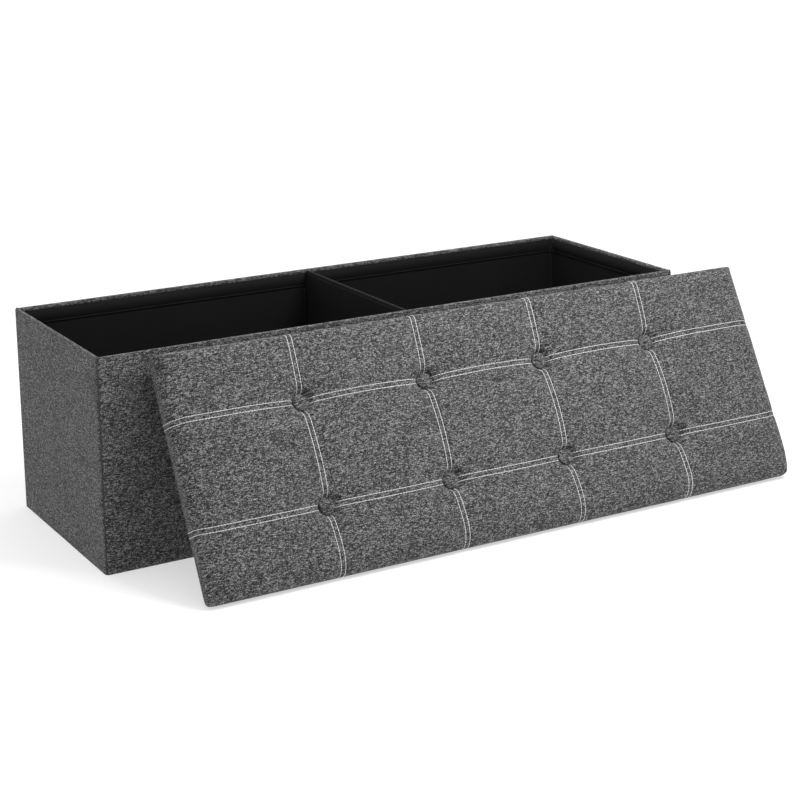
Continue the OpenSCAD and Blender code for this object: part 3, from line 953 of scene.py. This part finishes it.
def make_box_stitches():
    """Black stitches that close the corner seams, drawn as a thick dark bead that is partly real thread and partly
    painted shade of the seam's groove, hold the hems and run round the divider's and boards' edges.
    """
    diagonal = math.sqrt(0.5)
    # The corner bead sits out at the cloth's surface, where its black stands for the real thread and for painted
    # shade in the seam's groove.
    reach = CORNER_R * diagonal - 0.6 * MM * diagonal
    end_gap = 4 * MM
    runs = []
    for sx in (-1, 1):
        for sy in (-1, 1):
            x, y = sx * (BOX_X - CORNER_R + reach), sy * (BOX_Y - CORNER_R + reach)
            runs.append(straight_run((x, y, end_gap), (x, y, BOX_H - end_gap), (sx * diagonal, sy * diagonal, 0), 60))
    seams = sew("corner_seam_stitches_and_painted_shade", runs, BLACK_THREAD, "box", CORNER_STITCH_AND_SHADE)
    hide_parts("corner_seams")

    z = HEM_LOW + 3 * MM
    inside = WALL_T + 0.95 * MM
    runs = []
    for sign in (-1, 1):
        x, y = sign * (BOX_X - inside), sign * (BOX_Y - inside)
        edge = BOX_X - inside - 2 * MM
        runs.append(straight_run((-edge, y, z), (edge, y, z), (0, -sign, 0), 90))
        edge = BOX_Y - inside - 2 * MM
        runs.append(straight_run((x, -edge, z), (x, edge, z), (-sign, 0, 0), 40))
    sew("hem_stitches", runs, BLACK_THREAD, "box", HEM_STITCH)

    for side in ("left", "right"):
        low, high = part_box(side + "_base_wrap")
        inset = 6 * MM
        corners = rectangle(low.x + inset, low.y + inset, high.x - inset, high.y - inset)
        sew(side + "_base_stitches", [upward_run(corners, high.z + 0.1 * MM)], BLACK_THREAD, side + "_base",
            HEM_STITCH)

    low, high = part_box("divider_wrap")
    z = high.z - 6 * MM
    runs = [straight_run((x, low.y + end_gap, z), (x, high.y - end_gap, z), (out, 0, 0), 50)
            for x, out in ((low.x - 0.05 * MM, -1), (high.x + 0.05 * MM, 1))]
    sew("divider_stitches", runs, BLACK_THREAD, "divider", HEM_STITCH)


def staple_tree():
    """Geometry Nodes that set wire staples along lines, each turned a little at random."""
    tree, given, places, along = start_line_tree("staples", Pitch=42 * MM, Crown=10 * MM, Leg=1.4 * MM, Wire=0.5 * MM)
    ends = []
    for share in (-0.5, 0.5):
        half = add(tree, "ShaderNodeMath", {0: given["Crown"], 1: share}, operation="MULTIPLY")
        ends.append(add(tree, "ShaderNodeCombineXYZ", {0: half.outputs[0]}).outputs[0])
    drop = add(tree, "ShaderNodeCombineXYZ", {2: given["Leg"]}).outputs[0]
    feet = [add(tree, "ShaderNodeVectorMath", {0: end, 1: drop}, operation="ADD").outputs[0] for end in ends]
    wires = tree.nodes.new("GeometryNodeJoinGeometry")
    for start, end in (ends, (ends[0], feet[0]), (ends[1], feet[1])):
        wire = add(tree, "GeometryNodeCurvePrimitiveLine", {"Start": start, "End": end})
        tree.links.new(wire.outputs[0], wires.inputs[0])
    section = add(tree, "GeometryNodeCurvePrimitiveCircle", {"Resolution": 8, "Radius": given["Wire"]})
    staple = add(tree, "GeometryNodeCurveToMesh",
                 {"Curve": wires.outputs[0], "Profile Curve": section.outputs[0], "Fill Caps": True})
    askew = add(tree, "FunctionNodeRandomValue", {"Min": (0, 0, -0.2), "Max": (0, 0, 0.2), "Seed": 11},
                data_type="FLOAT_VECTOR")
    turned = add(tree, "FunctionNodeRotateRotation", {"Rotation": along, "Rotate By": askew.outputs[0]},
                 rotation_space="LOCAL")
    return finish_line_tree(tree, given, {"Points": places, "Instance": staple.outputs[0],
                                          "Rotation": turned.outputs[0]})


def make_staples():
    """Staples that hold the turned-in cover and the underside cloth to the board."""
    inset, z = 12.5 * MM, -1.2 * MM
    corner_gap = 9 * MM
    side = LID_W / 2 - inset
    x, y0, y1 = side - corner_gap, inset, LID_D - inset
    ends = [((-x, y0, z), (x, y0, z)), ((-x, y1, z), (x, y1, z)),
            ((-side, y0 + corner_gap, z), (-side, y1 - corner_gap, z)),
            ((side, y0 + corner_gap, z), (side, y1 - corner_gap, z))]
    source = bpy.data.meshes.new("staple_lines")
    source.from_pydata([p for pair in ends for p in pair], [(2 * i, 2 * i + 1) for i in range(len(ends))], [])
    piece = grown("wire_staples", source, staple_tree(), {"Material": ZINC}, "lid")
    stand_up(piece)
    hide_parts("lid_staples")


# ---- buttons ----

def lathe(profile, segments):
    """Points and faces of a closed form turned about Z. The profile holds (radius, height), from axis to axis."""
    points = [(0, 0, profile[0][1])]
    for r, z in profile[1:-1]:
        points += [(r * math.cos(2 * math.pi * k / segments), r * math.sin(2 * math.pi * k / segments), z)
                   for k in range(segments)]
    points.append((0, 0, profile[-1][1]))
    faces = [(0, 1 + (k + 1) % segments, 1 + k) for k in range(segments)]
    rings = len(profile) - 2
    for r in range(rings - 1):
        first, following = 1 + r * segments, 1 + (r + 1) * segments
        faces += [(first + k, first + (k + 1) % segments, following + (k + 1) % segments, following + k)
                  for k in range(segments)]
    last, top = 1 + (rings - 1) * segments, len(points) - 1
    faces += [(last + k, last + (k + 1) % segments, top) for k in range(segments)]
    return points, faces


def make_buttons():
    """Domed shells covered in the lid's cloth, gathered in small pleats under their rims."""
    edge = 3.0 * MM
    height = 7 * MM
    bottom = BUTTON_TOP - height
    for number, (name, place) in enumerate(BUTTONS.items()):
        profile = [(0, bottom), (BUTTON_R * 0.8, bottom), (BUTTON_R * 0.94, bottom + edge * 0.25),
                   (BUTTON_R, bottom + edge * 0.8), (BUTTON_R * 0.985, bottom + edge * 1.25)]
        for r in (0.93, 0.82, 0.66, 0.46, 0.24):
            profile.append((BUTTON_R * r, bottom + edge + (height - edge) * math.sqrt(1 - r * r * 0.98)))
        profile.append((0, BUTTON_TOP))
        points, faces = lathe(profile, 48)
        moved = []
        for x, y, z in points:
            r, angle = math.hypot(x, y), math.atan2(y, x)
            pleat = 0.012 * math.cos(16 * angle + number) * min(max((bottom + edge - z) / edge, 0), 1)
            moved.append((place.x + x * (1 + pleat), place.y + y * (1 + pleat), z))
        turn = 0.6 * ripple(number * 1.7, 0.3, 0.9)
        uvs = [(p[0] * math.cos(turn) - p[1] * math.sin(turn), p[0] * math.sin(turn) + p[1] * math.cos(turn))
               for p in moved]
        piece = object_from("covered_" + name, moved, faces, uvs, CLOTH, "lid")
        smooth_out(piece)
        stand_up(piece)
        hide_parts(name)


# ---- camera, lights and floor ----

def make_camera():
    """Stands to the front left and a little above, with a long lens."""
    data = bpy.data.cameras.new("camera")
    data.sensor_width = 36
    data.lens = 83.7
    data.shift_x, data.shift_y = -0.0064, -0.173
    data.clip_end = 100
    camera = new_object("camera", data)
    turn, tilt, roll = math.radians(-30.28), math.radians(90 - 12.55), math.radians(-0.63)
    camera.matrix_world = (Matrix.Translation((-1.480, -2.707, 1.0745)) @ Matrix.Rotation(turn, 4, "Z")
                           @ Matrix.Rotation(tilt, 4, "X") @ Matrix.Rotation(roll, 4, "Z"))
    bpy.context.scene.camera = camera


def make_light(name, place, aim, size, power):
    """A soft square lamp that faces a point."""
    data = bpy.data.lights.new(name, "AREA")
    data.shape = "SQUARE"
    data.size = size
    data.energy = power
    lamp = new_object(name, data)
    lamp.location = place
    lamp.rotation_euler = (Vector(aim) - Vector(place)).to_track_quat("-Z", "Y").to_euler()


def make_studio():
    """White surroundings, a little dimmer to the left, a soft lamp above the front right, and a white floor."""
    world = bpy.data.worlds.new("studio")
    world.use_nodes = True
    tree = world.node_tree
    where = add(tree, "ShaderNodeTexCoord").outputs["Generated"]
    side = add(tree, "ShaderNodeSeparateXYZ", {0: where}).outputs[0]
    level = add(tree, "ShaderNodeMapRange", {0: side, 1: -0.7, 2: 0.3, 3: 1.02, 4: 1.12},
                interpolation_type="SMOOTHSTEP")
    tree.links.new(level.outputs[0], tree.nodes["Background"].inputs["Strength"])
    tree.nodes["Background"].inputs["Color"].default_value = (1, 1, 1, 1)
    bpy.context.scene.world = world
    make_light("key", (0.3, -0.78, 1.38), (0.05, -0.2, 0.34), 0.7, 22)
    material, tree, shader = start_material("white_floor", Roughness=0.9, Emission_Strength=0.5)
    shader.inputs["Base Color"].default_value = linear("bcbcbc")
    shader.inputs["Emission Color"].default_value = linear("ffffff")
    bpy.ops.mesh.primitive_plane_add(size=60, location=(0, 0, -0.0004))
    floor = bpy.context.object
    floor.name = "floor"
    floor.data.materials.append(material)
    bpy.context.scene.view_settings.view_transform = "Standard"


# ---- finishes of the CAD pieces that show as they are ----

def finish_cad_nodes():
    """Gives each CAD node the finish of what it is made of."""
    finishes = {"upholstery": CLOTH, "lining": LINING, "board": FIBREBOARD, "foam": FOAM,
                "thread": BLACK_THREAD, "steel": ZINC}
    slots = {s["node"]: s["material_slot"] for s in frame["record"]["subparts"]}
    for name, piece in frame["nodes"].items():
        for slot in piece.material_slots:
            slot.material = finishes[slots[name]]


make_camera()
make_studio()
finish_cad_nodes()
make_covers()
lid_cover, stitch_lines = make_lid_cover()
make_topstitching(lid_cover, stitch_lines)
stand_up(lid_cover)
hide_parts("lid_cover")
make_foam()
make_buttons()
make_linings()
make_wrapped_boards()
make_pull_tabs()
make_box_stitches()
make_staples()
